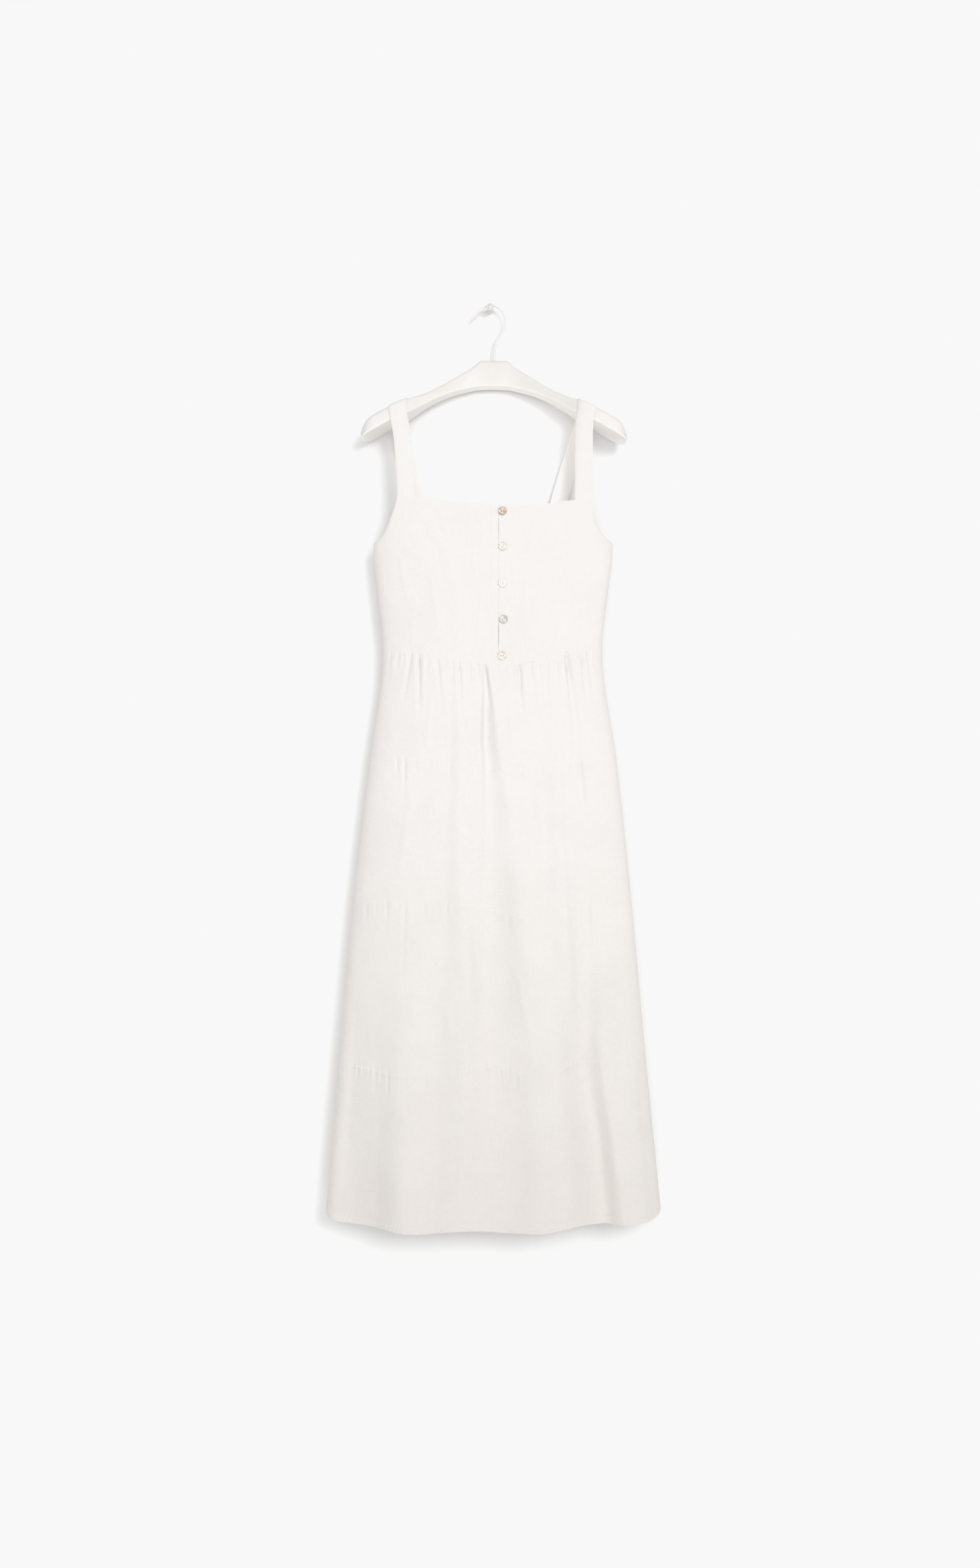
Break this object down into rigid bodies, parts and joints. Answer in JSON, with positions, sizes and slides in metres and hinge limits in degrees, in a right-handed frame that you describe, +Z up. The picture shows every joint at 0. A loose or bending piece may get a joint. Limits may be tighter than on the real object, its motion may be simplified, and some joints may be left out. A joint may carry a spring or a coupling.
{
  "type": "linen dress on a hanger",
  "caption": "Sleeveless tiered midi dress in pale linen with wide straps and a buttoned front, on a white wooden hanger hooked over a wall peg.",
  "frame": {"origin": "centre of the wall peg's flat back face, on the wall", "axes": "+Z up, +Y into the wall, so the dress faces -Y, and +X to the viewer's right"},
  "size_m": [0.5186, 0.1139, 1.4441],
  "materials": {
    "linen": "plain woven off-white linen, slightly crumpled",
    "pearl": "mother-of-pearl, polished",
    "painted_wood": "white satin paint",
    "white_wire": "white coated wire",
    "peg_metal": "satin nickel with a light worn edge"
  },
  "bodies": {
    "root": {"bodice_front_left": "linen", "bodice_front_right": "linen", "bodice_back": "linen", "button_stand": "linen", "strap_left": "linen", "strap_right": "linen", "skirt_tier_1_front": "linen", "skirt_tier_1_back": "linen", "skirt_tier_2_front": "linen", "skirt_tier_2_back": "linen", "skirt_tier_3_front": "linen", "skirt_tier_3_back": "linen", "skirt_tier_4_front": "linen", "skirt_tier_4_back": "linen", "button_1": "pearl", "button_2": "pearl", "button_3": "pearl", "button_4": "pearl", "button_5": "pearl", "hanger_body": "painted_wood", "hanger_hook": "white_wire", "wall_peg": "peg_metal"}
  },
  "joints": []
}
